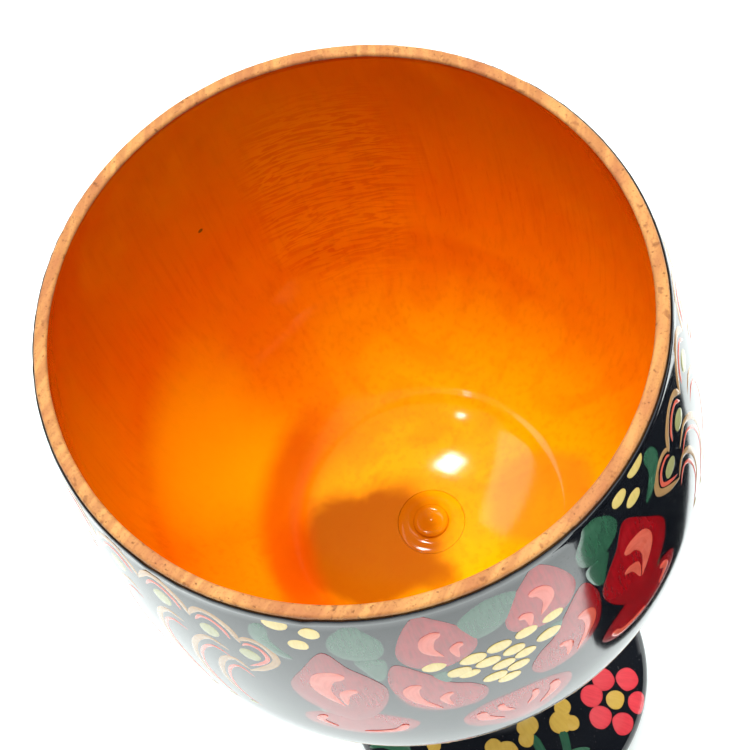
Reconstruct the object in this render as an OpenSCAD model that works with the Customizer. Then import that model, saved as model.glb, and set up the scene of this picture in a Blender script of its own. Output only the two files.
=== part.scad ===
// Turned wooden goblet: cup, stem and foot, glued together on round tenons and coated with lacquer.
// Millimetres, +Z up. The origin is the centre of the ring that the foot stands on.

/* [Goblet] */
// Height from the table to the lip
goblet_h = 148; // [140:1:165]
// Height of the cup, from the lip to its seat on the stem
cup_h = 73; // [68:1:80]
// Height of the foot, up to its seat under the stem
foot_h = 15; // [13:1:18]

/* [Cup] */
// Outer radius of the lip
lip_r = 34; // [30:0.5:38]
// Thickness of the wall at the lip
lip_wall = 1.5; // [1.2:0.1:2.5]
// Outer radius of the belly, the widest ring of the cup
belly_r = 37.1; // [36:0.1:40]
// Depth of the belly below the lip
belly_depth = 33; // [28:0.5:38]
// Thickness of the wall at the belly
belly_wall = 2.2; // [1.8:0.1:3.5]
// Thickness of the cup's floor
floor_t = 7; // [5:0.5:10]

/* [Stem] */
// Radius of the stem where the cup sits on it, and where it sits on the foot
neck_r = 9; // [8:0.5:11]
// Radius of the thin stretches of the stem
waist_r = 5.2; // [5:0.1:6]
// Radius of the round knop halfway down
knop_r = 9.5; // [8:0.5:12]
// Radius of the two small beads
bead_r = 6.9; // [6.5:0.1:7.5]
// Radius of the tenon at each end
tenon_r = 4.6; // [4:0.1:4.8]
// Gap round a tenon, which the glue fills
glue_gap = 0.05; // [0.03:0.01:0.1]
// Radius of the button that is turned on the upper tenon's end
button_r = 2.4; // [1.5:0.1:3]
// Height of that button
button_h = 0.8; // [0.4:0.1:1.2]

/* [Foot] */
// Outer radius of the foot
foot_r = 26.2; // [25:0.1:30]
// Height of the foot's widest ring
foot_edge_z = 3; // [2:0.25:4]
// Radius of the shallow hollow under the foot
hollow_r = 19.5; // [15:0.5:21]
// Depth of that hollow
hollow_depth = 1.5; // [1:0.25:2]

/* [Lacquer] */
// Thickness of the black coats on the outside: ground, paint and varnish
black_t = 0.25; // [0.2:0.05:0.4]
// Thickness of the amber coat inside the cup
amber_t = 0.2; // [0.15:0.05:0.3]
// Width of bare wood left below the lip and above the table
bare_w = 0.4; // [0.3:0.1:0.8]

/* [Hidden] */
$fn = 96;

seat_z = goblet_h - cup_h;
floor_z = seat_z + floor_t;
socket_r = tenon_r + glue_gap;
belly_z = goblet_h - belly_depth;

// Points along a cubic curve from a to d with the handles b and c, without the last one
function curve(a, b, c, d, n = 14) =
    [for (i = [0:n - 1]) let (t = i / n, u = 1 - t) u^3 * a + 3 * u^2 * t * b + 3 * u * t^2 * c + t^3 * d];

// Points round half a bead of radius r and height h, whose middle is at z, from its top to its foot
function bead(r, h, z, n = 8) =
    [for (i = [0:n]) let (a = 180 * i / n) [waist_r + (r - waist_r) * sin(a), z + h / 2 * cos(a)]];

// Unit vector to the right of a line at its point i, which is outwards on a line that runs down
function side(line, i) =
    let (d = line[min(i + 1, len(line) - 1)] - line[max(i - 1, 0)]) [-d[1], d[0]] / norm(d);

// A line moved sideways by a distance, its two ends kept at their own heights
function moved(line, by) =
    [for (i = [0:len(line) - 1]) let (n = side(line, i), end = i == 0 || i == len(line) - 1)
        end ? line[i] + [by / n[0], 0] : line[i] + by * n];

function reversed(line) = [for (i = [len(line) - 1:-1:0]) line[i]];

// The points of a line that lie between two heights
function between(line, low, high) = [for (p = line) if (p[1] >= low && p[1] <= high) p];

// The finished outside of the cup, from its lip down to its seat
cup_outside = concat(
    curve([lip_r, goblet_h], [lip_r + 2, goblet_h - 9], [belly_r, belly_z + 13], [belly_r, belly_z]),
    curve([belly_r, belly_z], [belly_r, belly_z - 20], [belly_r - 7.5, seat_z + 7], [neck_r, seat_z], 20),
    [[neck_r, seat_z]]);

// The finished inside of the cup, from its lip down to the rim of the socket in its floor
cup_inside = concat(
    curve([lip_r - lip_wall, goblet_h], [lip_r - lip_wall + 2, goblet_h - 9],
          [belly_r - belly_wall, belly_z + 13], [belly_r - belly_wall, belly_z]),
    curve([belly_r - belly_wall, belly_z], [belly_r - belly_wall, belly_z - 19],
          [belly_r - 9, floor_z + 1], [socket_r, floor_z], 20),
    [[socket_r, floor_z]]);

// The finished outside of the stem, from the cup's seat down to the foot's seat
upper_bead_z = seat_z - 11;
lower_bead_z = foot_h + 13;
bead_h = 4;
knop_z = (upper_bead_z + lower_bead_z) / 2;
knop_reach = (upper_bead_z - lower_bead_z - bead_h) / 2;
stem_outside = concat(
    curve([neck_r, seat_z], [neck_r - 2.5, seat_z - 2], [waist_r, seat_z - 5],
          [waist_r, upper_bead_z + bead_h / 2], 8),
    bead(bead_r, bead_h, upper_bead_z),
    curve([waist_r, upper_bead_z - bead_h / 2], [waist_r, knop_z + knop_reach * 0.45],
          [knop_r, knop_z + knop_reach * 0.55], [knop_r, knop_z], 10),
    curve([knop_r, knop_z], [knop_r, knop_z - knop_reach * 0.55],
          [waist_r, knop_z - knop_reach * 0.45], [waist_r, lower_bead_z + bead_h / 2], 10),
    bead(bead_r, bead_h, lower_bead_z),
    curve([waist_r, lower_bead_z - bead_h / 2], [waist_r, foot_h + 8], [neck_r - 2.5, foot_h + 3],
          [neck_r, foot_h], 8),
    [[neck_r, foot_h]]);

// The finished outside of the foot, from its seat under the stem, over its edge, down to the table
foot_outside = concat(
    curve([neck_r, foot_h], [neck_r + 2.5, foot_h - 7], [neck_r + 9, foot_edge_z + 4.6],
          [foot_r - 3, foot_edge_z + 3]),
    curve([foot_r - 3, foot_edge_z + 3], [foot_r - 1.1, foot_edge_z + 2.6],
          [foot_r, foot_edge_z + 1.6], [foot_r, foot_edge_z], 8),
    curve([foot_r, foot_edge_z], [foot_r, foot_edge_z - 1.6], [foot_r - 0.5, 0.6], [foot_r - 1.3, 0], 6),
    [[foot_r - 1.3, 0]]);

// The wood under the lacquer, on the same lines
cup_wood_outside = moved(cup_outside, -black_t);
cup_wood_inside = moved(cup_inside, amber_t);
stem_wood_outside = moved(stem_outside, -black_t);
foot_wood_outside = moved(foot_outside, -black_t);

// A solid of revolution of the closed outline that two lines make
module turned(outer, inner) {
    rotate_extrude() polygon(concat(outer, reversed(inner)));
}

// Lime-wood cup: a thin shell with a thick floor, bored through for the stem's upper tenon
module cup() {
    color("burlywood") difference() {
        turned(cup_wood_outside, concat(cup_wood_inside, [[0, floor_z - amber_t], [0, seat_z]]));
        translate([0, 0, seat_z - 1]) cylinder(r = socket_r, h = floor_t + 2);
    }
}

// Black coat on the outside of the cup, from just below the lip to the seat
module cup_outer_lacquer() {
    top = goblet_h - bare_w;
    color("black") turned(
        concat([[lip_r + 0.1, top]], between(cup_outside, 0, top)),
        concat([[lip_r + 0.1 - black_t, top]], between(cup_wood_outside, 0, top)));
}

// Amber coat on the inside of the cup, from just below the lip to the socket in the floor
module cup_inner_lacquer() {
    top = goblet_h - bare_w;
    inner_r = lip_r - lip_wall + 0.1;
    color("darkorange") turned(
        concat([[inner_r + amber_t, top]], between(cup_wood_inside, 0, top), [[socket_r, floor_z - amber_t]]),
        concat([[inner_r, top]], between(cup_inside, 0, top)));
}

// Turned stem with a knop and two beads. Its upper tenon shows in the cup's floor, and its lower
// one ends in the hollow of the foot.
module stem() {
    color("burlywood") {
        difference() {
            union() {
                turned(stem_wood_outside, [[0, seat_z], [0, foot_h]]);
                translate([0, 0, hollow_depth]) cylinder(r = tenon_r, h = floor_z - hollow_depth);
                translate([0, 0, floor_z]) cylinder(r1 = button_r, r2 = button_r * 0.8, h = button_h);
            }
            translate([0, 0, floor_z + button_h * 0.4])
                cylinder(r1 = 0.3, r2 = button_r * 0.45, h = button_h);
        }
    }
}

// Black coat on the stem
module stem_lacquer() {
    color("black") turned(stem_outside, stem_wood_outside);
}

// Turned foot, bored through for the stem's lower tenon and hollowed underneath to stand on a ring
module foot() {
    color("burlywood") difference() {
        turned(foot_wood_outside, [[0, foot_h], [0, 0]]);
        translate([0, 0, -1]) cylinder(r = socket_r, h = foot_h + 2);
        translate([0, 0, -1]) cylinder(r = hollow_r, h = hollow_depth + 1);
    }
}

// Black coat on the foot, from its seat over the edge to just above the table
module foot_lacquer() {
    color("black") turned(between(foot_outside, bare_w, foot_h), between(foot_wood_outside, bare_w, foot_h));
}

cup();
cup_outer_lacquer();
cup_inner_lacquer();
stem();
stem_lacquer();
foot();
foot_lacquer();
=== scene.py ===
"""Looks of a turned wooden goblet: bare lip, amber inside, black outside with painted flowers."""

import math
from bisect import bisect_right

import bmesh
import bpy
from mathutils import Matrix, Vector, noise


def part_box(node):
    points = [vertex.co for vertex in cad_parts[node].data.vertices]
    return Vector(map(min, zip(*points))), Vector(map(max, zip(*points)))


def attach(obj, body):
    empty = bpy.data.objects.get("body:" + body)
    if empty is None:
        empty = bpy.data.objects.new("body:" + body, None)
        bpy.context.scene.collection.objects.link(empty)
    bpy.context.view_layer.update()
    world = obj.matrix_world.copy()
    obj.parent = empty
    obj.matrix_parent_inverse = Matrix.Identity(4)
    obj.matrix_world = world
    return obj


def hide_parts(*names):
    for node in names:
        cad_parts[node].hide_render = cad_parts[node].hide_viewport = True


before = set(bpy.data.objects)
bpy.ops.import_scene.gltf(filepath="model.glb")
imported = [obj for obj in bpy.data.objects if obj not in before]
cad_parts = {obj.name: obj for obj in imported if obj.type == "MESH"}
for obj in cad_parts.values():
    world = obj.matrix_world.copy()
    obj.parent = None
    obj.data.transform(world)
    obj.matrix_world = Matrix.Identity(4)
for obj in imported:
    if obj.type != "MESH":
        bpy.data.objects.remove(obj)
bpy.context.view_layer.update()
mm = 0.001

# ======================================================================================================
# THE CUP'S WOOD
# One piece of pale lime wood, turned with the grain running up the wall, so that end grain with small
# open pores shows on the lip. The lip stays bare and is rounded over with a cloth on the lathe.
# ======================================================================================================
lip_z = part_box("cup")[1].z / mm
seat_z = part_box("cup")[0].z / mm
belly_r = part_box("cup_outer_lacquer")[1].x / mm
lip_r = 34
lip_wall = 1.5
lip_round = 0.4
belly_z = lip_z - 33
belly_wall = 2.2
floor_z = seat_z + 7
neck_r = 9
socket_r = 4.65
black_t = 0.25
amber_t = 0.2
bare_w = 0.45


def curve(a, b, c, d, count):
    """Points along a cubic curve from a to d with the handles b and c, without the last one."""
    found = []
    for step in range(count):
        t = step / count
        u = 1 - t
        shares = (u**3, 3 * u * u * t, 3 * u * t * t, t**3)
        found.append(tuple(sum(s * p[i] for s, p in zip(shares, (a, b, c, d))) for i in (0, 1)))
    return found


def quarter(centre, reach, start):
    """Points round a quarter of an oval from start, in degrees, with both ends."""
    angles = [math.radians(start + 90 * step / 6) for step in range(7)]
    return [(centre[0] + reach[0] * math.cos(a), centre[1] + reach[1] * math.sin(a)) for a in angles]


def moved(line, by):
    """A line pushed sideways, outwards on a line that runs down where by is above 0."""
    found = []
    for i, (r, z) in enumerate(line):
        before, after = line[max(i - 1, 0)], line[min(i + 1, len(line) - 1)]
        along = Vector((after[0] - before[0], after[1] - before[1])).normalized()
        found.append((r - by * along.y, z + by * along.x))
    return found


def below(line, top):
    """The part of a line that lies lower than top."""
    return [p for p in line if p[1] < top]


cup_outside = [
    *curve((lip_r, lip_z), (lip_r + 2, lip_z - 9), (belly_r, belly_z + 13), (belly_r, belly_z), 30),
    *curve((belly_r, belly_z), (belly_r, belly_z - 20), (belly_r - 7.5, seat_z + 7), (neck_r, seat_z), 60),
    (neck_r, seat_z),
]
lip_in, belly_in = lip_r - lip_wall, belly_r - belly_wall
cup_inside = [
    *curve((lip_in, lip_z), (lip_in + 2, lip_z - 9), (belly_in, belly_z + 13), (belly_in, belly_z), 30),
    *curve((belly_in, belly_z), (belly_in, belly_z - 19), (belly_r - 9, floor_z + 1),
           (socket_r, floor_z), 90),
    (socket_r, floor_z),
]


oval_depth = lip_r * 2.15


def oval(angle, z):
    """The wood has dried slightly oval: what a radius is multiplied by, which fades out below the lip."""
    fade = min(max(1 + (z - lip_z) / oval_depth, 0), 1)
    squash = 0.002 * math.cos(2 * angle) + 0.014 * math.sin(2 * angle) + 0.0014 * math.cos(3 * angle)
    return 1 - fade * squash


def rough(angle, grain, seed):
    """A smooth uneven number from -1 to 1 round the goblet, grain features to a radian."""
    return noise.noise(Vector((math.cos(angle) * grain, math.sin(angle) * grain, seed)))


crease = 38


def solid(name, corners, faces, weld=False):
    """A closed, smooth mesh object with its sharp creases kept. weld joins corners in the same place."""
    mesh = bpy.data.meshes.new(name)
    mesh.from_pydata(corners, [], faces)
    shaped = bmesh.new()
    shaped.from_mesh(mesh)
    if weld:
        bmesh.ops.remove_doubles(shaped, verts=shaped.verts, dist=1e-8)
    bmesh.ops.recalc_face_normals(shaped, faces=shaped.faces)
    shaped.to_mesh(mesh)
    shaped.free()
    mesh.shade_smooth()
    mesh.set_sharp_from_angle(angle=math.radians(crease))
    made = bpy.data.objects.new(name, mesh)
    bpy.context.scene.collection.objects.link(made)
    return made


def turned(name, outline, around, shape=None):
    """A solid turned from a closed outline in millimetres. shape(angle, r, z) moves each point a little."""
    corners, faces = [], []
    count = len(outline)
    for turn in range(around):
        angle = 2 * math.pi * turn / around
        for r, z in outline:
            if shape:
                r, z = shape(angle, r, z)
            r *= oval(angle, z)
            corners.append((r * math.cos(angle) * mm, r * math.sin(angle) * mm, z * mm))
        near, far = turn * count, (turn + 1) % around * count
        faces += [(near + i, far + i, far + (i + 1) % count, near + (i + 1) % count) for i in range(count)]
    return solid(name, corners, faces, True)


class Wire:
    """A shader socket that takes part in sums: each operator adds its Math node."""

    def __init__(self, finish, socket):
        self.finish, self.socket = finish, socket

    def math(self, operation, first, second):
        return self.finish.node("Math", {"operation": operation}, {0: first, 1: second})

    def __add__(self, other):
        return self.math("ADD", self, other)

    def __radd__(self, other):
        return self.math("ADD", other, self)

    def __sub__(self, other):
        return self.math("SUBTRACT", self, other)

    def __rsub__(self, other):
        return self.math("SUBTRACT", other, self)

    def __mul__(self, other):
        return self.math("MULTIPLY", self, other)

    def __rmul__(self, other):
        return self.math("MULTIPLY", other, self)

    def __pow__(self, other):
        return self.math("POWER", self, other)

    def __abs__(self):
        return self.math("ABSOLUTE", self, 0.0)


class Finish:
    """A procedural material, or a world in its place, made of nodes that node() adds."""

    def __init__(self, name, kept_in=bpy.data.materials):
        self.owner = kept_in.new(name)
        self.owner.use_nodes = True
        self.tree = self.owner.node_tree
        self.tree.nodes.clear()

    def node(self, kind, settings=None, sockets=None, output=0):
        """Adds a node: its settings first, then its sockets' values or links. Gives one of its outputs."""
        made = self.tree.nodes.new("ShaderNode" + kind)
        for key, value in (settings or {}).items():
            setattr(made, key, value)
        for key, value in (sockets or {}).items():
            if isinstance(value, Wire):
                self.tree.links.new(value.socket, made.inputs[key])
            else:
                made.inputs[key].default_value = value
        return Wire(self, made.outputs[output]) if made.outputs else None

    def place(self):
        """The three coordinates of a point of the piece, in millimetres."""
        point = self.node("TexCoord", output="Object")
        return [self.node("SeparateXYZ", {}, {0: point}, i) * 1000 for i in range(3)]

    def grain(self, x, y, z, size, detail=3.0, distortion=0.0):
        """Noise from 0 to 1 whose features are about size across, in the units of x, y and z."""
        point = self.node("CombineXYZ", {}, {0: x, 1: y, 2: z})
        sockets = {"Vector": point, "Scale": 1 / size, "Detail": detail, "Distortion": distortion}
        return self.node("TexNoise", {}, sockets)

    def step(self, value, low, high):
        """0 below low, 1 above high and smooth in between."""
        sockets = {"Value": value, "From Min": low, "From Max": high}
        return self.node("MapRange", {"interpolation_type": "SMOOTHSTEP"}, sockets)

    def mix(self, share, first, second):
        """Two colours mixed. A colour is three numbers or a wire."""
        first, second = ((*c, 1) if isinstance(c, tuple) else c for c in (first, second))
        return self.node("Mix", {"data_type": "RGBA"}, {0: share, 6: first, 7: second}, 2)

    def bump(self, height, depth):
        """A normal from a height from 0 to 1 that stands for depth, in millimetres."""
        return self.node("Bump", {}, {"Strength": 1.0, "Distance": depth * mm, "Height": height})

    def surface(self, **sockets):
        """Ends the material with a Principled surface. The words are its socket names."""
        named = {}
        for key, value in sockets.items():
            named[key.replace("_", " ")] = (*value, 1) if isinstance(value, tuple) else value
        shader = self.node("BsdfPrincipled", {}, named)
        self.node("OutputMaterial", {}, {"Surface": shader})
        return self.owner


def away(across, up):
    """Distance from the place where both wires are 0."""
    return (across**2 + up**2) ** 0.5


def lime_wood(name):
    """Bare lime wood: faint rings round a pith outside the cup, fine fibres, pores and handling marks."""
    wood = Finish(name)
    x, y, z = wood.place()
    wander = wood.grain(x, y, z * 0.1, 14)
    rings = wood.grain(away(x + 70, y - 52) + wander * 3, 0.0, z * 0.02, 0.9, 4.0)
    fibre = wood.grain(x, y, z * 0.06, 0.28, 2.0)
    blotch = wood.grain(x, y, z, 7, 4.0)
    pores = wood.step(wood.grain(x, y, z * 0.3, 0.6, 2.0), 0.62, 0.72)
    nicks = wood.step(wood.grain(x + 40, y, z * 0.5, 1.6, 2.0), 0.64, 0.72)
    tan, honey, brown = (0.34, 0.145, 0.045), (0.48, 0.235, 0.073), (0.16, 0.055, 0.017)
    ruddy, pore_brown, nick_brown = (0.3, 0.1, 0.04), (0.09, 0.032, 0.011), (0.14, 0.045, 0.014)
    colour = wood.mix(wood.step(rings, 0.35, 0.68), tan, honey)
    colour = wood.mix(wood.step(blotch, 0.42, 0.68) * 0.65, colour, ruddy)
    colour = wood.mix(wood.step(fibre, 0.5, 0.75) * 0.4, colour, brown)
    colour = wood.mix(pores * 0.6, colour, pore_brown)
    colour = wood.mix(nicks * 0.55, colour, nick_brown)
    height = fibre * 0.5 + (1 - pores) * 0.5 + (1 - nicks) * 0.6 + rings * 0.3
    return wood.surface(
        Base_Color=colour, Roughness=0.42 + blotch * 0.2, Normal=wood.bump(height, 0.06), IOR=1.45)


sanded_h = 1.2


def lip_shape(angle, r, z):
    """Small unevenness that sanding leaves on the lip, down to sanded_h below its top."""
    share = min(max((z - lip_z + sanded_h) / sanded_h, 0), 1)
    return r + 0.05 * share * rough(angle, 9, 1), z + share * (0.03 * rough(angle, 24, 2) - 0.03)


coats_top = lip_z - bare_w
under_black = below(moved(cup_outside, -black_t), coats_top - 0.1)
under_amber = below(moved(cup_inside, amber_t), coats_top - 0.1)
cup_outline = [
    *reversed(quarter((lip_in + lip_round, lip_z - lip_round), (lip_round, lip_round), 90)),
    *reversed(quarter((lip_r - lip_round, lip_z - lip_round), (lip_round, lip_round), 0)),
    *under_black,
    (socket_r, seat_z),
    *reversed(under_amber),
]
wood_finish = lime_wood("bare_lime_wood")
cup = turned("cup_wood", cup_outline, 400, lip_shape)
cup.data.materials.append(wood_finish)
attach(cup, "root")
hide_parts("cup")

# ======================================================================================================
# THE AMBER LINING
# Several coats of clear amber varnish over the bare wood, brushed on while the cup turns, so that
# the wood's figure shows through: long fibres and one band of curly grain. It ends below the lip.
# ======================================================================================================


def edge_shape(chips):
    """Makes a coat's upper edge ragged. chips are the (angle, width, depth) of spots that have flaked."""

    def shape(angle, r, z):
        share = min(max((z - lip_z + 3) / 2.5, 0), 1)
        drop = 0.12 + 0.14 * rough(angle, 30, 5) + 0.07 * rough(angle, 90, 6)
        for place, width, depth in chips:
            off = math.remainder(angle - math.radians(place), 2 * math.pi) / math.radians(width)
            drop += depth * math.exp(-(off**2))
        return r, z - share * max(drop, -0.02)

    return shape


tool_ring_r = 18
tool_ring_h = 0.16
tool_ring_w = 0.45


def tooled(line):
    """The lining's line with the faint ridge that the hook tool leaves at the edge of the floor."""
    found = []
    for r, z in line:
        ridge = tool_ring_h * math.exp(-(((r - tool_ring_r) / tool_ring_w) ** 2))
        found.append((r, z + ridge if z < belly_z else z))
    return found


golden = (0.84, 0.36, 0.0008)
orange = (0.83, 0.225, 0.0006)
deep_orange = (0.48, 0.044, 0.0004)
rust = (0.66, 0.1, 0.0005)
left_shade_orange = (0.68, 0.12, 0.0005)
fibre_brown = (0.42, 0.05, 0.0004)
ripple_and_shade_brown = (0.48, 0.05, 0.0004)
dark_reflection_brown = (0.26, 0.055, 0.0006)
pale_reflection_tan = (0.5, 0.18, 0.008)
speck_black = (0.06, 0.004, 0.002)

# Where the wood's marks, the painted light and the painted reflections lie: degrees round the wall and a
# height, or x and y on the floor. The band of curly grain runs up the wall, ripple_half to either side.
ripple_at, ripple_half = 80, 11
light_pool_at, light_pool_z = 143, floor_z + 13
speck_at, speck_z = 111, lip_z - 26.4
dark_reflection_x, dark_reflection_y = -9, -1
pale_reflection_x, pale_reflection_y = 15, -3


def amber_varnish(name):
    """Clear amber over wood: golden on the floor, deeper on the fibres, painted shade up the wall."""
    amber = Finish(name)
    x, y, z = amber.place()
    radius = away(x, y)
    wall = amber.node("Math", {"operation": "ARCTAN2"}, {0: y, 1: x}) * lip_r
    fibre = amber.grain(x, y, z * 0.035, 0.8, 3.0)
    fleck = amber.grain(x, y, z * 0.16, 0.45, 2.0)
    cloud = amber.grain(x, y, z * 0.5, 16, 3.0)
    figure = amber.grain(x, y, z * 0.3, 11, 2.0, 1.6)
    drift = cloud - 0.5

    # The colour is golden on the floor and deepens up the wall to the lip, painted shade on the upper wall.
    colour = amber.mix(amber.step(z, floor_z + 1, floor_z + 18), golden, orange)
    # Painted shade: the left of the floor takes a deeper orange.
    left_shade = amber.step(x, 6, -10) * amber.step(radius, 11, 19)
    colour = amber.mix(left_shade * 0.6, colour, left_shade_orange)
    colour = amber.mix(amber.step(z, floor_z + 22, lip_z + 4) * 0.95, colour, deep_orange)

    # The wood shows through it: wide figure, pale clouds, fibres along the wall and short flecks.
    colour = amber.mix(amber.step(figure, 0.42, 0.6) * 0.22, colour, rust)
    colour = amber.mix(amber.step(cloud, 0.5, 0.72) * 0.18, colour, golden)
    colour = amber.mix(amber.step(fibre, 0.45, 0.75) * 0.16, colour, fibre_brown)
    flecks = amber.step(fleck, 0.58, 0.72) * amber.step(z, floor_z + 3, floor_z + 20)
    colour = amber.mix(flecks * 0.12, colour, deep_orange)

    # One band of curly grain runs up the far wall.
    wave = amber.grain(wall * 0.5, 0.0, z, 5, 2.0)
    ripple = amber.grain(wall * 0.2 + wave * 2, 0.0, z + wave * 2.4, 0.62, 1.0, 0.8)
    off_band = abs(wall - math.radians(ripple_at) * lip_r + drift * 16)
    band = 1 - amber.step(off_band, ripple_half * 0.35, ripple_half)
    band = band * amber.step(z, floor_z + 10, floor_z + 24) * amber.step(z, lip_z - 5, lip_z - 22)
    colour = amber.mix(band * amber.step(ripple, 0.4, 0.6) * 0.32, colour, ripple_and_shade_brown)
    colour = amber.mix(band * amber.step(ripple, 0.6, 0.42) * 0.3, colour, golden)

    # A painted pool of light and a pin knot lie on the wall; painted reflections and shade lie on the
    # floor.
    light_pool_off = away(wall - math.radians(light_pool_at) * lip_r, z - light_pool_z) + drift * 14
    colour = amber.mix(amber.step(light_pool_off, 17, 5) * 0.65, colour, golden)
    # A dark brown patch left of the button is a painted reflection of a dark shape over the cup.
    dark_reflection_off = away((x - dark_reflection_x) * 0.8, y - dark_reflection_y) + drift * 10 + (figure - 0.5) * 8
    colour = amber.mix(amber.step(dark_reflection_off, 11, 6) * 0.92, colour, dark_reflection_brown)
    # A tan patch right of the button is a painted reflection of a pale surface over the cup.
    pale_reflection_off = away((x - pale_reflection_x) * 0.9, y - pale_reflection_y) + drift * 8
    colour = amber.mix(amber.step(pale_reflection_off, 8.5, 6) * 0.6, colour, pale_reflection_tan)
    # Painted shade darkens the left of the floor along its edge, where the wall rises.
    edge_off = abs(radius - tool_ring_r - 2) + drift * 3
    shaded = amber.step(x, -5, -14) * amber.step(edge_off, 4.5, 1)
    colour = amber.mix(shaded * 0.75, colour, ripple_and_shade_brown)
    speck_off = away(wall - math.radians(speck_at) * lip_r, z - speck_z)
    colour = amber.mix(amber.step(speck_off, 0.45, 0.25) * 0.9, colour, speck_black)

    # The hook tool leaves fine rings on the floor, which the varnish nearly fills.
    tool_rings = amber.node("Math", {"operation": "SINE"}, {0: radius * 7.5})
    on_floor = 1 - amber.step(radius, tool_ring_r - 1, tool_ring_r + 1)
    height = ripple * band * 0.5 + fibre * 0.2 + cloud * 2 + tool_rings * on_floor * 0.06
    return amber.surface(
        Base_Color=colour, Roughness=0.05 + cloud * 0.05, Normal=amber.bump(height, 0.006), IOR=1.5)


amber_round = 0.3
amber_top = coats_top - amber_round
amber_outline = [
    *reversed(quarter((lip_in + amber_t + 0.1, amber_top), (amber_t, amber_round), 90)),
    *tooled(below(cup_inside, amber_top)),
    (socket_r, floor_z - amber_t),
    *reversed(below(moved(cup_inside, amber_t), amber_top)),
]
amber_finish = amber_varnish("amber_varnish_on_wood")
amber_chips = [(150, 2, 0.2), (20, 1.5, 0.25), (-60, 2.5, 0.15)]
lining = turned("amber_lining", amber_outline, 400, edge_shape(amber_chips))
lining.data.materials.append(amber_finish)
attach(lining, "root")
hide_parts("cup_inner_lacquer")

# ======================================================================================================
# THE CUP'S BLACK COAT
# Black ground, then the painting, then clear varnish that is hardened in a kiln and rubbed to a gloss.
# Its upper edge is cut back from the lip and has flaked in a few places.
# ======================================================================================================


def black_lacquer(name):
    """Deep black gloss with a faint waviness, fine dust under the varnish and rubbed patches."""
    black = Finish(name)
    x, y, z = black.place()
    wave = black.grain(x, y, z * 0.6, 9, 2.0)
    streak = black.grain(x, y, z * 0.08, 0.9, 2.0)
    dust = black.step(black.grain(x, y, z, 0.35, 0.0), 0.78, 0.82)
    rubbed = black.grain(x, y, z, 12, 4.0)
    soot, worn_black, dust_grey = (0.005, 0.006, 0.009), (0.011, 0.013, 0.017), (0.12, 0.11, 0.1)
    colour = black.mix(rubbed, soot, worn_black)
    colour = black.mix(dust * 0.3, colour, dust_grey)
    height = wave * 0.7 + streak * 0.12 + dust * 0.1
    return black.surface(
        Base_Color=colour, Roughness=0.06 + rubbed * 0.08, Normal=black.bump(height, 0.05), IOR=1.72)


edge_round = 0.9
coat_line = below(cup_outside, coats_top - edge_round)
cup_coat_outline = [
    *reversed(quarter((coat_line[0][0] - black_t, coats_top - edge_round), (black_t, edge_round), 0)),
    *coat_line,
    *reversed(below(moved(cup_outside, -black_t), coats_top - edge_round)),
]
black_finish = black_lacquer("black_lacquer_gloss")
black_chips = [(-148, 2.2, 0.5), (-141, 1.2, 0.35), (-118, 1.5, 0.3), (35, 2, 0.4), (110, 1.5, 0.3)]
cup_coat = turned("cup_black_coat", cup_coat_outline, 400, edge_shape(black_chips))
cup_coat.data.materials.append(black_finish)
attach(cup_coat, "root")
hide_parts("cup_outer_lacquer")

# ======================================================================================================
# THE STEM
# Turned lime wood with a knop and two beads. A round tenon at each end is glued into the cup's floor
# and into the foot. The upper one comes through the floor and ends in a small turned button.
# ======================================================================================================
foot_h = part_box("foot")[1].z / mm
waist_r = 5.2
bead_r = 6.9
bead_h = 4
tenon_r = 4.6
tenon_bevel = 0.2
hollow_depth = 1.5
upper_bead_z = seat_z - 11
lower_bead_z = foot_h + 13
knop_r = 9.5
knop_z = (upper_bead_z + lower_bead_z) / 2
knop_reach = (upper_bead_z - lower_bead_z - bead_h) / 2
end_coat_t = 0.06


def bead(z):
    """The half round outline of a bead, from its top down."""
    angles = [math.pi * step / 16 for step in range(17)]
    return [(waist_r + (bead_r - waist_r) * math.sin(a), z + bead_h / 2 * math.cos(a)) for a in angles]


def half_knop(way):
    """From the waist to the middle of the knop, above it where way is 1 and below it where way is -1."""
    far, bend = (waist_r, knop_z + way * knop_reach), (waist_r, knop_z + way * knop_reach * 0.45)
    points = curve(far, bend, (knop_r, knop_z + way * knop_reach * 0.55), (knop_r, knop_z), 20)
    return points if way > 0 else points[::-1]


stem_outside = [
    *curve((neck_r, seat_z), (neck_r - 2.5, seat_z - 2), (waist_r, seat_z - 5),
           (waist_r, upper_bead_z + bead_h / 2), 16),
    *bead(upper_bead_z),
    *half_knop(1)[1:],
    (knop_r, knop_z),
    *half_knop(-1)[:-1],
    *bead(lower_bead_z),
    *curve((waist_r, lower_bead_z - bead_h / 2), (waist_r, foot_h + 8), (neck_r - 2.5, foot_h + 3),
           (neck_r, foot_h), 16)[1:],
    (neck_r, foot_h),
]
stem_outline = [
    (0, floor_z - end_coat_t),
    (tenon_r, floor_z - end_coat_t),
    (tenon_r, seat_z),
    *moved(stem_outside, -black_t),
    (tenon_r, foot_h),
    (tenon_r, hollow_depth + tenon_bevel),
    (tenon_r - tenon_bevel, hollow_depth),
    (0, hollow_depth),
]
stem = turned("stem_wood", stem_outline, 160)
stem.data.materials.append(wood_finish)
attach(stem, "root")
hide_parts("stem")

stem_coat = turned("stem_black_coat", [*stem_outside, *reversed(moved(stem_outside, -black_t))], 160)
stem_coat.data.materials.append(black_finish)
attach(stem_coat, "root")
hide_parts("stem_lacquer")

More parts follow.
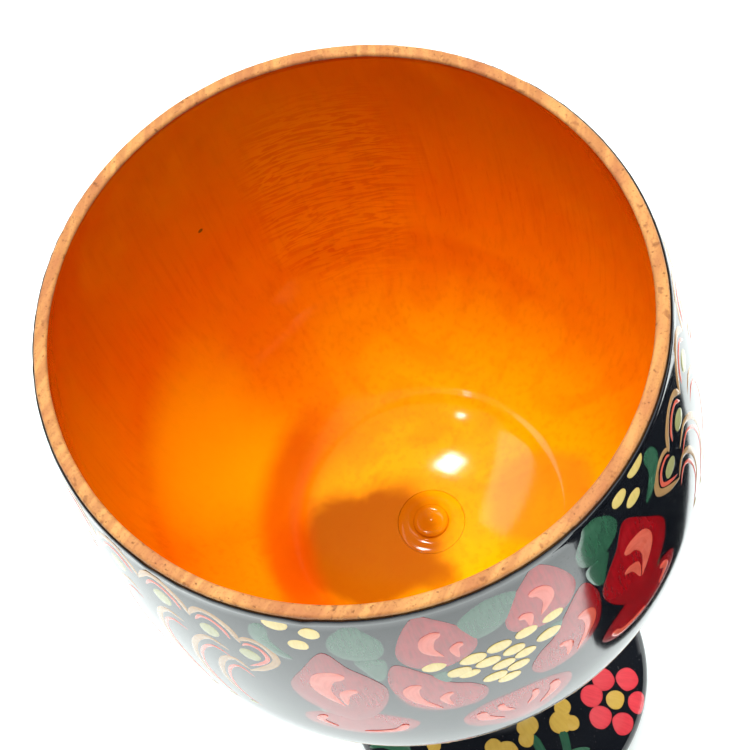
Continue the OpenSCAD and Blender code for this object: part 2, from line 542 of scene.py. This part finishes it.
# The tenon's end in the cup's floor takes the same amber varnish, over its button and centre dimple.
button_r = 2.4
button_h = 0.8
dimple_r = 1.0
tenon_end_outline = [
    (0, floor_z + button_h * 0.45),
    (dimple_r * 0.5, floor_z + button_h * 0.55),
    (dimple_r, floor_z + button_h * 0.85),
    *reversed(quarter((button_r * 0.72, floor_z + button_h * 0.55), (button_r * 0.28, button_h * 0.45), 0)),
    (button_r + 0.05, floor_z + 0.15),
    (button_r + 0.4, floor_z),
    (3.5, floor_z + 0.06),
    (tenon_r - 0.25, floor_z + 0.04),
    (tenon_r, floor_z - 0.02),
    (tenon_r, floor_z - end_coat_t * 3),
    (0, floor_z - end_coat_t * 3),
]
tenon_end = turned("tenon_end_amber", tenon_end_outline, 128)
tenon_end.data.materials.append(amber_finish)
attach(tenon_end, "root")

# ======================================================================================================
# THE FOOT
# A turned lime-wood disc with a rounded edge, hollowed underneath to stand on a ring. The black coat
# covers its top and edge; the underside is bare, with the stem's lower tenon in the middle.
# ======================================================================================================
foot_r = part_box("foot_lacquer")[1].x / mm
foot_edge_z = 3
hollow_r = 19.5
foot_outside = [
    *curve((neck_r, foot_h), (neck_r + 2.5, foot_h - 7), (neck_r + 9, foot_edge_z + 4.6),
           (foot_r - 3, foot_edge_z + 3), 40),
    *curve((foot_r - 3, foot_edge_z + 3), (foot_r - 1.1, foot_edge_z + 2.6), (foot_r, foot_edge_z + 1.6),
           (foot_r, foot_edge_z), 12),
    *curve((foot_r, foot_edge_z), (foot_r, foot_edge_z - 1.6), (foot_r - 0.5, 0.6), (foot_r - 1.3, 0), 10),
    (foot_r - 1.3, 0),
]
foot_outline = [
    (socket_r, foot_h),
    *[p for p in moved(foot_outside, -black_t) if p[1] > 0.05],
    (foot_r - 1.6, 0),
    (hollow_r + 0.4, 0),
    (hollow_r, 0.35),
    (hollow_r - 0.1, hollow_depth - 0.3),
    (hollow_r - 0.6, hollow_depth),
    (socket_r, hollow_depth),
]
foot = turned("foot_wood", foot_outline, 256)
foot.data.materials.append(wood_finish)
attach(foot, "root")
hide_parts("foot")

coat_foot_z = 0.35
foot_line = [p for p in foot_outside if p[1] > coat_foot_z]
foot_coat_inside = [p for p in moved(foot_outside, -black_t) if p[1] > coat_foot_z]
foot_coat_outline = [*foot_line, *reversed(foot_coat_inside)]
foot_coat = turned("foot_black_coat", foot_coat_outline, 360)
foot_coat.data.materials.append(black_finish)
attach(foot_coat, "root")
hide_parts("foot_lacquer")

# ======================================================================================================
# THE PAINTED FLOWERS ON THE CUP
# Oil colours laid on the black ground with a soft squirrel brush: red petals with coral crescents, cream
# seeds and green leaves. Each stroke is a thin, slightly raised skin of paint under the clear varnish.
# ======================================================================================================


class Ground:
    """A turned outline to lay strokes on. A place is (degrees round, millimetres along the outline)."""

    def __init__(self, line):
        self.line = [Vector(p) for p in line]
        self.lengths = [0.0]
        for before, after in zip(self.line, self.line[1:]):
            self.lengths.append(self.lengths[-1] + (after - before).length)

    def spot(self, length):
        """Radius, height and outward direction at a length along the outline."""
        i = min(max(bisect_right(self.lengths, length) - 1, 0), len(self.line) - 2)
        a, b = self.line[i], self.line[i + 1]
        share = (length - self.lengths[i]) / (self.lengths[i + 1] - self.lengths[i])
        along = (b - a).normalized()
        return a + (b - a) * share, Vector((-along.y, along.x))

    def point(self, degrees, length, lift):
        """A point over the ground, in metres. lift is its height above the ground in millimetres."""
        at, out = self.spot(length)
        angle = math.radians(degrees)
        r = (at.x + out.x * lift) * oval(angle, at.y)
        return (r * math.cos(angle) * mm, r * math.sin(angle) * mm, (at.y + out.y * lift) * mm)

    def degree(self, length):
        """Millimetres that one degree round the ground takes at that length."""
        return self.spot(length)[0].x * math.pi / 180


def smooth_line(points, closed, each=6):
    """A smooth line through the points, in each steps from one to the next."""
    count = len(points)
    found = []
    for i in range(count if closed else count - 1):
        picks = [(i + k) % count if closed else min(max(i + k, 0), count - 1) for k in (-1, 0, 1, 2)]
        p, q, s, t = (Vector(points[k]) for k in picks)
        for step in range(each):
            u = step / each
            bend = (2 * p - 5 * q + 4 * s - t) * u**2 + (3 * q - p - 3 * s + t) * u**3
            found.append(0.5 * (2 * q + (s - p) * u + bend))
    if not closed:
        found.append(Vector(points[-1]))
    return found


# How far the paint stands above the black coat, and where its underside lies in the coat.
paint_t = 0.05
sunk = -0.04


class Painting:
    """Strokes of one colour on one ground, gathered into one piece."""

    def __init__(self, ground):
        self.ground = ground
        self.corners = []
        self.faces = []
        self.brush = []
        self.count = 0

    def corner(self, place, lift, brush):
        """Adds a corner. brush says where in its stroke it lies: along, across and how near the edge."""
        self.corners.append(self.ground.point(place[0], place[1], lift))
        self.brush.append((*brush, self.count))
        return len(self.corners) - 1

    def patch(self, outline, lift=0.0, rings=7):
        """A filled shape with a rounded edge, such as a petal, from points round it."""
        self.count += 1
        rim = smooth_line(outline, True)
        middle = sum(rim, Vector((0, 0))) / len(rim)
        wide = self.ground.degree(middle.y)
        shares = [k / rings for k in range(1, rings + 1)]
        levels = [(share, lift + paint_t * math.sqrt(1 - share**3)) for share in shares]
        levels += [(k / rings, sunk) for k in (rings, rings // 2)]
        top = self.corner(middle, lift + paint_t, (0, 0, 0))
        rows = []
        for share, height in levels:
            row = []
            for reach in ((p - middle) * share for p in rim):
                row.append(self.corner(middle + reach, height, (reach.y, reach.x * wide, share)))
            rows.append(row)
        bottom = self.corner(middle, sunk, (0, 0, 0))
        self.close(rows, top, bottom)

    def stroke(self, spine, widths, lift=0.0):
        """One pull of the brush along a spine. widths are its millimetres across at the spine's points."""
        self.count += 1
        line = smooth_line([(*p, w) for p, w in zip(spine, widths)], False, 7)
        across = 5
        rows = []
        run = 0.0
        for i, here in enumerate(line):
            before, after = line[max(i - 1, 0)], line[min(i + 1, len(line) - 1)]
            wide = self.ground.degree(here.y)
            along = Vector(((after.x - before.x) * wide, after.y - before.y)).normalized()
            start, end = i / (len(line) - 1), 1 - i / (len(line) - 1)
            taper = math.sqrt(min(start * 7, 1)) * math.sqrt(min(end * 7, 1))
            half = max(abs(here.z) * taper, 0.04) / 2
            run += math.hypot((here.x - before.x) * wide, here.y - before.y)
            row = []
            for k in range(across):
                off = 2 * k / (across - 1) - 1
                place = (here.x - along.y * off * half / wide, here.y + along.x * off * half)
                height = lift + paint_t * (1 - off**4) * min(1, half * 3 + 0.2) * max(taper, 0.1)
                row.append(self.corner(place, height, (run, off * half, abs(off))))
            for k in range(across - 1, -1, -2):
                off = 2 * k / (across - 1) - 1
                place = (here.x - along.y * off * half / wide, here.y + along.x * off * half)
                row.append(self.corner(place, sunk, (run, off * half, abs(off))))
            rows.append(row)
        ends = [self.corner(line[i], sunk / 2, (0, 0, 1)) for i in (0, -1)]
        self.close(rows, *ends)

    def close(self, rows, first, last):
        """Skins the rows of corners and closes both ends on one corner each."""
        count = len(rows[0])
        for i in range(count):
            after = (i + 1) % count
            self.faces += [(near[i], far[i], far[after], near[after]) for near, far in zip(rows, rows[1:])]
            self.faces.append((first, rows[0][i], rows[0][after]))
            self.faces.append((last, rows[-1][after], rows[-1][i]))

    def dot(self, place, radius, lift=0.0, stretch=1.0):
        """A round touch of the brush, a little uneven."""
        wide = self.ground.degree(place[1])
        rim = []
        for step in range(8):
            angle = math.pi * step / 4
            reach = radius * (1 + 0.1 * noise.noise(Vector((place[0], place[1], step * 2.3))))
            off = (reach * math.cos(angle) / wide, reach * stretch * math.sin(angle))
            rim.append((place[0] + off[0], place[1] + off[1]))
        self.patch(rim, lift, 5)

    def piece(self, name, finish, slot):
        """Makes the piece. It keeps where each corner lies in its stroke, for the finish to read."""
        made = solid(name, self.corners, self.faces)
        brush = made.data.attributes.new("brush", "FLOAT_VECTOR", "POINT")
        brush.data.foreach_set("vector", [number for corner in self.brush for number in corner[:3]])
        tone = made.data.attributes.new("tone", "FLOAT", "POINT")
        tone.data.foreach_set("value", [corner[3] * 0.618 % 1 for corner in self.brush])
        made.data.materials.append(finish)
        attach(made, "root")
        return made


def paint(name, colour, shade, light, streak=0.5):
    """Oil colour under varnish: brush streaks, a darker edge, and a tone of its own for each stroke."""
    oil = Finish(name)
    brush = oil.node("Attribute", {"attribute_name": "brush"}, {}, "Vector")
    along, across, edge = (oil.node("SeparateXYZ", {}, {0: brush}, i) for i in range(3))
    tone = oil.node("Attribute", {"attribute_name": "tone"}, {}, "Fac")
    hair = oil.grain(along * 0.12, across, tone * 50, 0.35, 2.0)
    pool = oil.grain(along, across, tone * 80, 2.6, 2.0)
    mixed = oil.mix(oil.step(hair, 0.35, 0.7) * streak, colour, shade)
    mixed = oil.mix(oil.step(pool, 0.48, 0.75) * 0.5, mixed, light)
    mixed = oil.mix(oil.step(edge, 0.8, 1.0) * 0.45, mixed, shade)
    mixed = oil.mix(tone * 0.25, mixed, shade)
    height = hair * 0.12 + pool * 0.5
    return oil.surface(
        Base_Color=mixed, Roughness=0.1 + hair * 0.1, Normal=oil.bump(height, 0.01), IOR=1.85)


cup_ground = Ground(cup_outside)
bouquet_middle = -88
sides = [(turn, flip) for turn in (0, 180) for flip in (1, -1)]


def laid(points, turn, flip):
    """Points given as (degrees from the bouquet's middle, depth below the lip), moved to one side."""
    return [(bouquet_middle + turn + flip * aside, depth) for aside, depth in points]


red = paint("red_oil", (0.4, 0.003, 0.008), (0.19, 0.001, 0.003), (0.5, 0.012, 0.018))
coral = paint("coral_oil", (0.78, 0.14, 0.085), (0.6, 0.08, 0.045), (0.85, 0.2, 0.13))
cream = paint("cream_oil", (0.82, 0.64, 0.2), (0.62, 0.43, 0.1), (0.88, 0.74, 0.3), 0.3)
green = paint("green_oil", (0.035, 0.13, 0.07), (0.015, 0.06, 0.035), (0.07, 0.19, 0.11))
gold = paint("gold_toned_oil", (0.5, 0.29, 0.12), (0.3, 0.15, 0.05), (0.6, 0.4, 0.2), 0.35)

# Petals of one half of the bouquet: a bud near the lip, a side petal, the big one and the low one. The
# middle petal is whole.
bud = [(11, 1.6), (14.4, 4.8), (16.2, 9.4), (14, 12.9), (9, 14.2), (4, 12.4), (2.6, 9.6), (4.4, 6),
       (7.6, 3.2)]
side_petal = [(17, 11.4), (19.2, 15), (19, 20), (17, 24.5), (12, 27.3), (6, 27), (4, 24), (6, 20.8),
              (9.5, 18.6), (12.5, 15)]
big_petal = [(28.5, 7.8), (33.5, 13), (36.8, 18), (36, 22.5), (32.5, 26.5), (28.5, 29.5), (24.5, 27),
             (21, 21.8), (20, 17.5), (22, 14.3), (25, 11.5)]
low_petal = [(17.5, 30.5), (21, 27.2), (26, 25.6), (32, 26), (37, 28.3), (38, 31.3), (35, 33.5), (28, 34.8),
             (21, 33.8)]
middle_petal = [(0, 28.3), (5.5, 29), (10, 32), (9.5, 36), (5, 39.5), (0, 41), (-5, 39.5), (-9.5, 36),
                (-10, 32), (-5.5, 29)]
# Crescents that light the petals: the points from a crescent's head to its thin tail, and its widths.
crescents = [
    ([(7.9, 5.9), (10.2, 6.7), (10.8, 9), (8.7, 11.4)], [1.3, 1.7, 1.4, 0.3]),
    ([(5, 9.4), (6.6, 10.2), (6.4, 12.6)], [1.0, 1.1, 0.3]),
    ([(14.5, 17.6), (16.3, 19), (15.8, 22.3), (12.5, 26.3)], [1.4, 1.8, 1.3, 0.3]),
    ([(9.8, 21.6), (11.5, 23), (10.6, 26)], [0.9, 1.1, 0.3]),
    ([(26.2, 13.7), (30, 14.6), (31.2, 18.4), (28.6, 23.4)], [2.2, 2.6, 2.0, 0.3]),
    ([(25.2, 17.8), (27.6, 19.2), (28.2, 23)], [1.2, 1.3, 0.3]),
    ([(20, 30.6), (22, 32.8), (28, 33.4)], [1.0, 1.1, 0.3]),
    ([(33.5, 28), (35, 30.2), (32.5, 32.3)], [0.9, 1.0, 0.3]),
    ([(6.8, 31.6), (6.6, 34.2), (3.4, 37)], [1.1, 1.4, 0.3]),
    ([(3.2, 31), (3, 33), (1.2, 35)], [0.8, 0.9, 0.3]),
]
petals, lights = Painting(cup_ground), Painting(cup_ground)
for turn, flip in sides:
    for level, outline in enumerate((low_petal, bud, side_petal, big_petal)):
        petals.patch(laid(outline, turn, flip), 0.012 * level)
    for spine, widths in crescents:
        lights.stroke(laid(spine, turn, flip), widths, 0.09)
for turn in (0, 180):
    petals.patch(laid(middle_petal, turn, 1), 0.006)
petals.piece("red_petals", red, "red_paint")
lights.piece("coral_crescents", coral, "coral_paint")

# Seeds between the petals in rows of (depth, gaps, degrees apart), and three berries beside each leaf.
seed_rows = [(13.6, 4, 5.5), (16.3, 3, 5.2), (18.7, 2, 4.6), (21, 1, 5), (23, 0, 0)]
berries = [((29.3, 3.5), 1.15), ((35, 2.1), 1.4), ((32, 6.3), 1.15)]
seeds = Painting(cup_ground)
for turn in (0, 180):
    for depth, gaps, spread in seed_rows:
        for number in range(gaps + 1):
            aside = (number - gaps / 2) * spread
            uneven = noise.noise(Vector((aside, depth, turn)))
            place = laid([(aside + 2.2 * uneven, depth + 1.4 * uneven)], turn, 1)[0]
            seeds.dot(place, 1.35 + 0.3 * uneven, 0.05, 0.8)
for turn, flip in sides:
    for place, radius in berries:
        seeds.dot(laid([place], turn, flip)[0], radius)
seeds.piece("cream_seeds", cream, "yellow_paint")

# Leaves behind the petals and the curled blade beside the berries.
leaf = [(22, 1.6), (26, 3.5), (27.4, 6.5), (25.5, 9), (21, 10), (18, 8.5), (17.5, 5.5), (19.5, 3.2)]
leaf_under = [(18.5, 9.5), (23.5, 9.6), (22.5, 12.5), (20.5, 15.5), (18.6, 13)]
leaf_small = [(9.5, 15.2), (12, 15.8), (12.4, 18), (10.5, 19.5), (8.8, 17.6)]
leaf_low = [(30, 22), (34, 24), (33.5, 27), (30, 28), (28.5, 25)]
leaf_top = [(-6.4, 8), (-4.4, 4.6), (0, 2.8), (4.4, 2.9), (7, 4.4), (5, 7.6), (0.5, 9.8), (-3.6, 10)]
blade = ([(38, 2.8), (38.9, 6), (36.8, 8.7), (34.2, 10.4)], [1.9, 2.2, 1.7, 0.9])
leaves = Painting(cup_ground)
for turn, flip in sides:
    for outline in (leaf_under, leaf, leaf_small, leaf_low):
        leaves.patch(laid(outline, turn, flip), -0.01)
    leaves.stroke(laid(blade[0], turn, flip), blade[1])
for turn in (0, 180):
    leaves.patch(laid(leaf_top, turn, 1), -0.01)
leaves.piece("green_leaves", green, "green_paint")

# ======================================================================================================
# THE GOLD LACE ON THE CUP
# Scalloped scrolls between the bouquets, drawn with the brush's tip in a gold-toned oil: an outer line,
# a coral line inside it, a pale drop in each scallop and long feathers that hang below.
# ======================================================================================================
scallops = [
    [(44.2, 17.4), (40.5, 15), (37.5, 11.8), (38.6, 8.6), (41.6, 7.7), (43.6, 8.9)],
    [(43.4, 9.4), (44.6, 6.6), (47.4, 4.6), (50.6, 4.7), (52.8, 7)],
    [(52.6, 7.4), (54.2, 4.7), (57.4, 2.8), (61, 3), (63.5, 5.7)],
    [(63.3, 6), (65.4, 3.8), (69, 2.6), (72.8, 3.6), (75, 6.3)],
    [(74.8, 6.5), (77.2, 4), (81.2, 2.7), (86, 3.2), (90, 6)],
]
drops = [(42.4, 12), (49.2, 9), (58.4, 6.8), (69.2, 7), (81.6, 7)]
feathers = [
    [(44, 17.2), (46.4, 15.2), (49.2, 17), (51.2, 21.5), (51.4, 26.5), (49, 31)],
    [(46.6, 13), (50.4, 11.6), (54.2, 15), (56.4, 21), (56.2, 27), (54, 32.5)],
    [(55, 10.6), (58.4, 10), (61.4, 13), (62.4, 19), (61, 26), (58.6, 33)],
    [(65, 10.4), (68.4, 10), (71.2, 13.5), (71.6, 20), (69.6, 27), (66.6, 34)],
    [(76.4, 10.6), (80, 10), (82.8, 14), (82.4, 21), (79.6, 28), (75.6, 34.5)],
]
lace, lace_lines, lace_drops = Painting(cup_ground), Painting(cup_ground), Painting(cup_ground)
for turn, flip in sides:
    for points, heart in zip(scallops, drops):
        ends = [0.6] + [0.95] * (len(points) - 2) + [0.6]
        lace.stroke(laid(points, turn, flip), ends)
        inner = [(heart[0] + (p[0] - heart[0]) * 0.68, heart[1] + (p[1] - heart[1]) * 0.68) for p in points]
        lace_lines.stroke(laid(inner, turn, flip), [0.3] + [0.55] * (len(inner) - 2) + [0.3])
        lace_drops.dot(laid([heart], turn, flip)[0], 1.2, 0, 1.25)
    for points in feathers:
        lace.stroke(laid(points, turn, flip), [0.5, 0.9, 0.9, 0.8, 0.6, 0.3])
        inner = [(p[0] - 1.6 * k / 5, p[1] + 2.2) for k, p in enumerate(points)]
        lace_lines.stroke(laid(inner, turn, flip), [0.3, 0.5, 0.5, 0.4, 0.4, 0.2])
        lace_drops.dot(laid([(points[-1][0], points[-1][1] + 1.6)], turn, flip)[0], 0.6)
lace.piece("gold_lace", gold, "gold_paint")
lace_lines.piece("coral_lace_lines", coral, "coral_paint")
pale_green = paint("pale_green_oil", (0.42, 0.42, 0.18), (0.28, 0.26, 0.08), (0.52, 0.53, 0.3), 0.3)
lace_drops.piece("lace_drops", pale_green, "yellow_paint")

# ======================================================================================================
# THE GRASS BELOW THE BELLY
# A ring of curled grass strokes in gold and red that leads down to the stem, closed by gold lines
# which are drawn while the goblet turns.
# ======================================================================================================
grass_gold, grass_red = Painting(cup_ground), Painting(cup_ground)
blades = 20
for number in range(blades):
    start = 360 * number / blades
    sweep = [(start, 66), (start + 5, 60), (start + 6, 54), (start + 1, 49)]
    grass_gold.stroke(sweep, [0.3, 0.9, 1.3, 0.5])
    answer = [(start + 9, 68), (start + 7, 63), (start + 10, 58.5), (start + 14, 57)]
    grass_red.stroke(answer, [0.3, 0.9, 1.4, 0.5])
    grass_red.dot((start + 10, 51), 0.8)


def ring_line(painting, length, width):
    """A line drawn right round while the piece turns, as four strokes that run into each other."""
    for quarter_turn in range(4):
        spine = [(90 * quarter_turn + 93 * k / 12 - 1.5, length) for k in range(13)]
        painting.stroke(spine, [width] * 13)


for length, width in ((46, 0.4), (71, 0.5), (73, 1.2)):
    ring_line(grass_gold, length, width)
grass_gold.piece("gold_grass", gold, "gold_paint")
grass_red.piece("red_grass", red, "red_paint")

# ======================================================================================================
# THE RINGS ON THE STEM
# Gold-toned lines on the beads and a red band with cream touches round the knop, drawn on the lathe.
# ======================================================================================================
stem_ground = Ground(stem_outside)


def stem_length(z):
    """Length along the stem's outline down to a height."""
    return min(s for s, p in zip(stem_ground.lengths, stem_ground.line) if p.y <= z)


stem_gold, stem_red, stem_cream = Painting(stem_ground), Painting(stem_ground), Painting(stem_ground)
for z, width in ((upper_bead_z, 2.6), (lower_bead_z, 2.6), (knop_z + 4.5, 0.5), (knop_z - 4.5, 0.5)):
    ring_line(stem_gold, stem_length(z), width)
ring_line(stem_red, stem_length(knop_z), 4.2)
for number in range(12):
    stem_cream.dot((30 * number, stem_length(knop_z)), 0.8, 0.06)
stem_gold.piece("stem_gold_rings", gold, "gold_paint")
stem_red.piece("knop_red_band", red, "red_paint")
stem_cream.piece("knop_cream_dots", cream, "yellow_paint")

# ======================================================================================================
# THE FLOWERS ON THE FOOT
# Four flowers of six round red touches about an ochre one, and between them sprays of yellow berries
# on green stalks, all dabbed on with the same brushes.
# ======================================================================================================
foot_ground = Ground(foot_outside)
flower_at = -38
flower_length = 16
flower_reach = 4.1
spray_berries = [(0, 6.2, 1.9), (-5, 8.2, 1.4), (20, 9.4, 2.0), (28, 8.2, 1.5), (-20, 9.4, 2.0),
                 (-28, 8.2, 1.5), (24, 11, 1.3), (-24, 11, 1.3)]
# The foot's red is pinker and brighter than the cup's; the extra brightness is painted light for the cup's
# shadow on the foot.
brightened_red = paint("scarlet_oil", (0.84, 0.07, 0.09), (0.55, 0.03, 0.04), (0.85, 0.1, 0.11), 0.3)
ochre = paint("ochre_oil", (0.7, 0.46, 0.09), (0.52, 0.3, 0.05), (0.8, 0.57, 0.15), 0.3)
foot_red, foot_yellow, foot_green = Painting(foot_ground), Painting(foot_ground), Painting(foot_ground)
for quarter_turn in range(4):
    middle = flower_at + 90 * quarter_turn
    wide = foot_ground.degree(flower_length)
    for petal in range(6):
        angle = math.radians(60 * petal + 20)
        off = (flower_reach * math.cos(angle) / wide, flower_reach * math.sin(angle))
        foot_red.dot((middle + off[0], flower_length + off[1]), 1.95, 0.01)
    foot_yellow.dot((middle, flower_length), 1.6, 0.03)
    spray = middle - 45
    for aside, length, radius in spray_berries:
        foot_yellow.dot((spray + aside, length), radius, 0.02)
    for aside in (-18, 0, 18):
        stalk = [(spray + aside, 8 + abs(aside) / 9), (spray + aside * 0.8, 12), (spray + aside * 0.3, 17),
                 (spray + aside * 0.1, 20)]
        foot_green.stroke(stalk, [1.5, 1.5, 1.2, 0.6])
    for way in (-1, 1):
        leaf_spine = [(spray + way * 4, 18), (spray + way * 12, 15), (spray + way * 20, 16)]
        foot_green.stroke(leaf_spine, [0.6, 2, 0.6])
foot_red.piece("foot_red_flowers", brightened_red, "red_paint")
foot_yellow.piece("foot_yellow_berries", ochre, "yellow_paint")
foot_green.piece("foot_green_stalks", green, "green_paint")

# ======================================================================================================
# THE TABLE, THE LIGHT AND THE CAMERA
# A pale table, soft light from a panel overhead, and three smaller lamps that show as highlights in
# the varnish. Nothing here belongs to the goblet.
# ======================================================================================================


def ring_of_points(middle, radius, z, count):
    """Corners round a level circle, in metres."""
    turns = [2 * math.pi * k / count for k in range(count)]
    return [(middle[0] + radius * math.cos(a), middle[1] + radius * math.sin(a), z) for a in turns]


def stage_piece(name, corners, faces, finish):
    """A piece of the surroundings, which the part does not include."""
    made = bpy.data.objects.new(name, bpy.data.meshes.new(name))
    made.data.from_pydata(corners, [], faces)
    made.data.materials.append(finish)
    bpy.context.scene.collection.objects.link(made)
    return made


table_r = 0.8
table_steps = 96
pale = Finish("pale_table")
x, y, z = pale.place()
shade = pale.mix(pale.grain(x, y, z, 30, 4.0), (0.82, 0.88, 0.87), (0.86, 0.91, 0.9))
table_finish = pale.surface(
    Base_Color=shade, Roughness=0.6, Emission_Color=(0.92, 1, 0.99), Emission_Strength=0.2)
table_rim = ring_of_points((0, 0), table_r, 0, table_steps)
stage_piece("table", table_rim, [tuple(range(table_steps))], table_finish)


def panel(name, place, target, size, strength):
    """A soft rectangular lamp that faces its target."""
    lamp = bpy.data.lights.new(name, "AREA")
    lamp.shape = "RECTANGLE"
    lamp.size, lamp.size_y = size
    lamp.energy = strength
    made = bpy.data.objects.new(name, lamp)
    way = Vector(place) - Vector(target)
    made.matrix_world = Matrix.Translation(place) @ way.to_track_quat("Z", "Y").to_matrix().to_4x4()
    bpy.context.scene.collection.objects.link(made)
    return made


lamp_z = 1.1
cup_centre = (0, 0, 0.12)
cup_floor = (0, 0, floor_z * mm)
overhead = panel("overhead_panel", (0.1, 0.14, lamp_z), cup_centre, (1.0, 1.0), 30)
overhead.visible_glossy = False
panel("window_large", (-0.12, 0.235, lamp_z), cup_floor, (0.09, 0.06), 0.7)
panel("window_small", (-0.3, 0.0, lamp_z), cup_floor, (0.03, 0.03), 0.12)
panel("pale_wall", (-0.42, 0.46, lamp_z), cup_floor, (0.5, 0.4), 1.2)

# A dark round neighbour stands beside the goblet. It is only seen mirrored in the black gloss.
card_middle = (0.082, -0.053)
card_r = 0.0455
card_h = 0.105
card_steps = 48
dark = Finish("dark_card")
card_finish = dark.surface(Base_Color=(0.002, 0.002, 0.003), Roughness=0.9, Specular_IOR_Level=0.0)
card_low = ring_of_points(card_middle, card_r, 0, card_steps)
card_high = ring_of_points(card_middle, card_r, card_h, card_steps)
card_faces = [tuple(range(card_steps, 2 * card_steps))]
for k in range(card_steps):
    after = (k + 1) % card_steps
    card_faces.append((k, after, card_steps + after, card_steps + k))
dark_card = stage_piece("dark_card", card_low + card_high, card_faces, card_finish)
dark_card.visible_camera = False
dark_card.visible_shadow = False
dark_card.visible_diffuse = False

# The room is bright along the horizon and dim overhead, so that the gloss mirrors it mostly at its edges.
room = Finish("studio", bpy.data.worlds)
bpy.context.scene.world = room.owner
direction = room.node("TexCoord", output="Generated")
upward = room.node("SeparateXYZ", {}, {0: direction}, "Z")
sky_bands = {"Value": upward, "From Min": 0.05, "From Max": 0.5, "To Min": 1.15, "To Max": 0.02}
brightness = room.node("MapRange", {"interpolation_type": "SMOOTHSTEP"}, sky_bands)
sky_light = room.node("Background", {}, {"Color": (0.97, 0.985, 1, 1), "Strength": brightness})
room.node("OutputWorld", {}, {"Surface": sky_light})

camera = bpy.data.objects.new("camera", bpy.data.cameras.new("camera"))
bpy.context.scene.collection.objects.link(camera)
bpy.context.scene.camera = camera
camera.data.lens = 91.2
camera.data.sensor_width = 36
camera.data.clip_start = 0.01
camera_rise = math.radians(61.8)
camera_distance = 0.2014
camera_turns = [(-22.85, "Z"), (-0.967, "Y"), (-1.903, "X")]
lip_centre = Vector((0, 0, lip_z * mm))
back = Vector((0, -math.cos(camera_rise), math.sin(camera_rise)))
aim = back.to_track_quat("Z", "Y").to_matrix()
for degrees, axis in camera_turns:
    aim = aim @ Matrix.Rotation(math.radians(degrees), 3, axis)
camera.matrix_world = Matrix.Translation(lip_centre + back * camera_distance) @ aim.to_4x4()
bpy.context.scene.view_settings.view_transform = "Standard"
